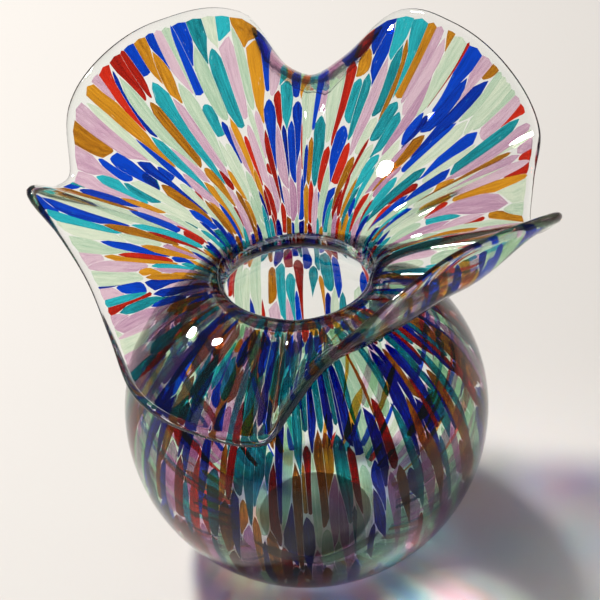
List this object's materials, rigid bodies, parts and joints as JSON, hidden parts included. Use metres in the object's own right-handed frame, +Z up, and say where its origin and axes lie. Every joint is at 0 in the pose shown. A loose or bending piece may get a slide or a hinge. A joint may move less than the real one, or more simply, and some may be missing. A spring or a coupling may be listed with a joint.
{
  "type": "blown glass vase",
  "caption": "Blown glass vase with a round bowl, a short neck and a wide ruffled mouth, with coloured chips between two layers of clear glass.",
  "frame": {"origin": "centre of the foot, on the surface that the vase stands on", "axes": "+Z up along the axis of the bowl and neck; the lowest fold of the mouth faces -Y and its two tallest folds are towards +Y"},
  "size_m": [0.1877, 0.1773, 0.1839],
  "materials": {
    "clear_lining": "smooth, as blown",
    "clear_casing": "smooth, with a fire polished lip and a ground and polished foot",
    "cobalt_glass": "transparent coloured glass, stretched and streaked",
    "teal_glass": "transparent coloured glass, stretched and streaked",
    "amber_glass": "transparent coloured glass, stretched and streaked",
    "red_glass": "transparent coloured glass, stretched and streaked",
    "lilac_glass": "milky coloured glass, stretched and streaked",
    "pale_green_glass": "milky coloured glass, stretched and streaked"
  },
  "bodies": {
    "root": {"inner_gather_bowl": "clear_lining", "inner_gather_mouth": "clear_lining", "outer_gather_bowl": "clear_casing", "outer_gather_mouth": "clear_casing", "cobalt_chips": "cobalt_glass", "teal_chips": "teal_glass", "amber_chips": "amber_glass", "red_chips": "red_glass", "lilac_chips": "lilac_glass", "pale_green_chips": "pale_green_glass"}
  },
  "joints": []
}
